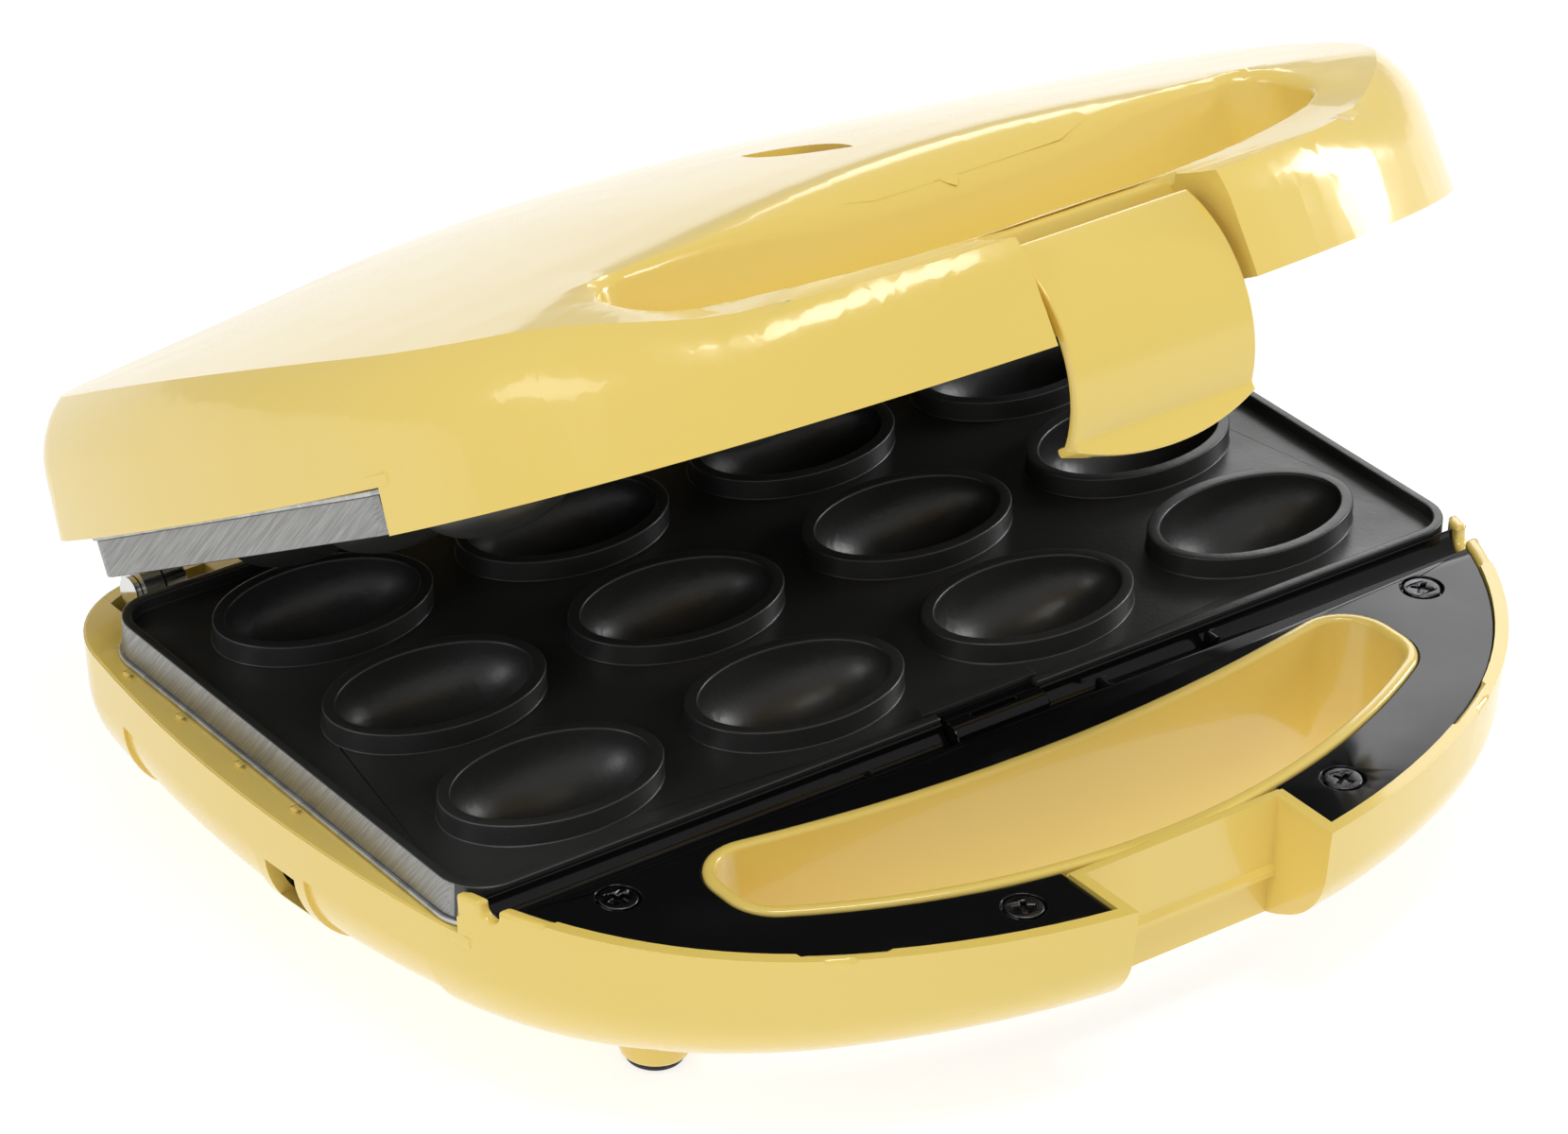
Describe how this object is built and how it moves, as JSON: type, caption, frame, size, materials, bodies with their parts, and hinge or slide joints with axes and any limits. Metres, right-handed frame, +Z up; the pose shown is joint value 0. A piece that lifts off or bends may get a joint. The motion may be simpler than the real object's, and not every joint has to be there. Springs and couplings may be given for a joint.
{
  "type": "walnut cookie maker",
  "caption": "Countertop cookie maker: a hinged domed lid and a base, both with non-stick plates that bake walnut-shaped half shells, with a finger opening and a swinging latch.",
  "frame": {"origin": "on the plane that the feet rest on, under the middle of the overall box", "axes": "+Z up, -Y towards the front with the finger opening and the latch, +X to the right as seen from the front; the lid is 30 degrees open"},
  "size_m": [0.2492, 0.2284, 0.1619],
  "materials": {
    "yellow_plastic": "glossy moulded butter yellow plastic",
    "black_plastic": "glossy moulded black plastic",
    "nonstick_plate": "cast aluminium, matte black non-stick coating on the baking side, ground bare sides",
    "galvanised_sheet": "drawn sheet with a dull zinc finish",
    "chrome_steel": "bright plated steel",
    "screw_steel": "zinc plated steel",
    "element_steel": "dark oxidised sheath",
    "thermostat_can": "plain pressed can",
    "white_plastic": "heat resistant moulding",
    "black_rubber": "soft matte rubber",
    "red_lens": "clear reddish brown plastic",
    "pale_lens": "clear pale plastic",
    "lamp_glass": "small clear lamps"
  },
  "bodies": {
    "base": {"base_housing": "yellow_plastic", "base_front_cover": "black_plastic", "base_cover_screws": "screw_steel", "lower_plate": "nonstick_plate", "plate_catch": "black_plastic", "lower_heater_pan": "galvanised_sheet", "lower_heating_element": "element_steel", "lower_thermostat": "thermostat_can", "lower_plate_screws": "screw_steel", "lower_pan_screws": "screw_steel", "thermal_fuse": "white_plastic", "terminal_block": "white_plastic", "cord_gland": "black_rubber", "feet": "yellow_plastic", "foot_pads": "black_rubber", "base_hinge_screws": "screw_steel", "base_hinge_bracket_left": "chrome_steel", "base_hinge_bracket_right": "chrome_steel", "hinge_pin_left": "chrome_steel", "hinge_pin_right": "chrome_steel"},
    "lid": {"lid_housing": "yellow_plastic", "lid_front_cover": "black_plastic", "lid_cover_screws": "screw_steel", "upper_plate": "nonstick_plate", "upper_heater_pan": "galvanised_sheet", "upper_heating_element": "element_steel", "upper_thermostat": "thermostat_can", "upper_plate_screws": "screw_steel", "upper_pan_screws": "screw_steel", "lamp_holder": "white_plastic", "indicator_lamps": "lamp_glass", "lid_hinge_screws": "screw_steel", "latch_pin": "chrome_steel", "power_lamp_lens": "red_lens", "ready_lamp_lens": "pale_lens", "lid_hinge_leaf_left": "chrome_steel", "lid_hinge_leaf_right": "chrome_steel"},
    "latch": {"latch_clip": "yellow_plastic"}
  },
  "joints": [
    {"name": "lid_hinge", "type": "hinge", "parent": "base", "child": "lid", "pos_m": [0, 0.08793, 0.037], "axis": [-1, 0, 0], "range_deg": [-30, 65]},
    {"name": "latch_hinge", "type": "hinge", "parent": "lid", "child": "latch", "pos_m": [0, -0.06755, 0.1487], "axis": [-1, 0, 0], "range_deg": [-5, 60]}
  ]
}
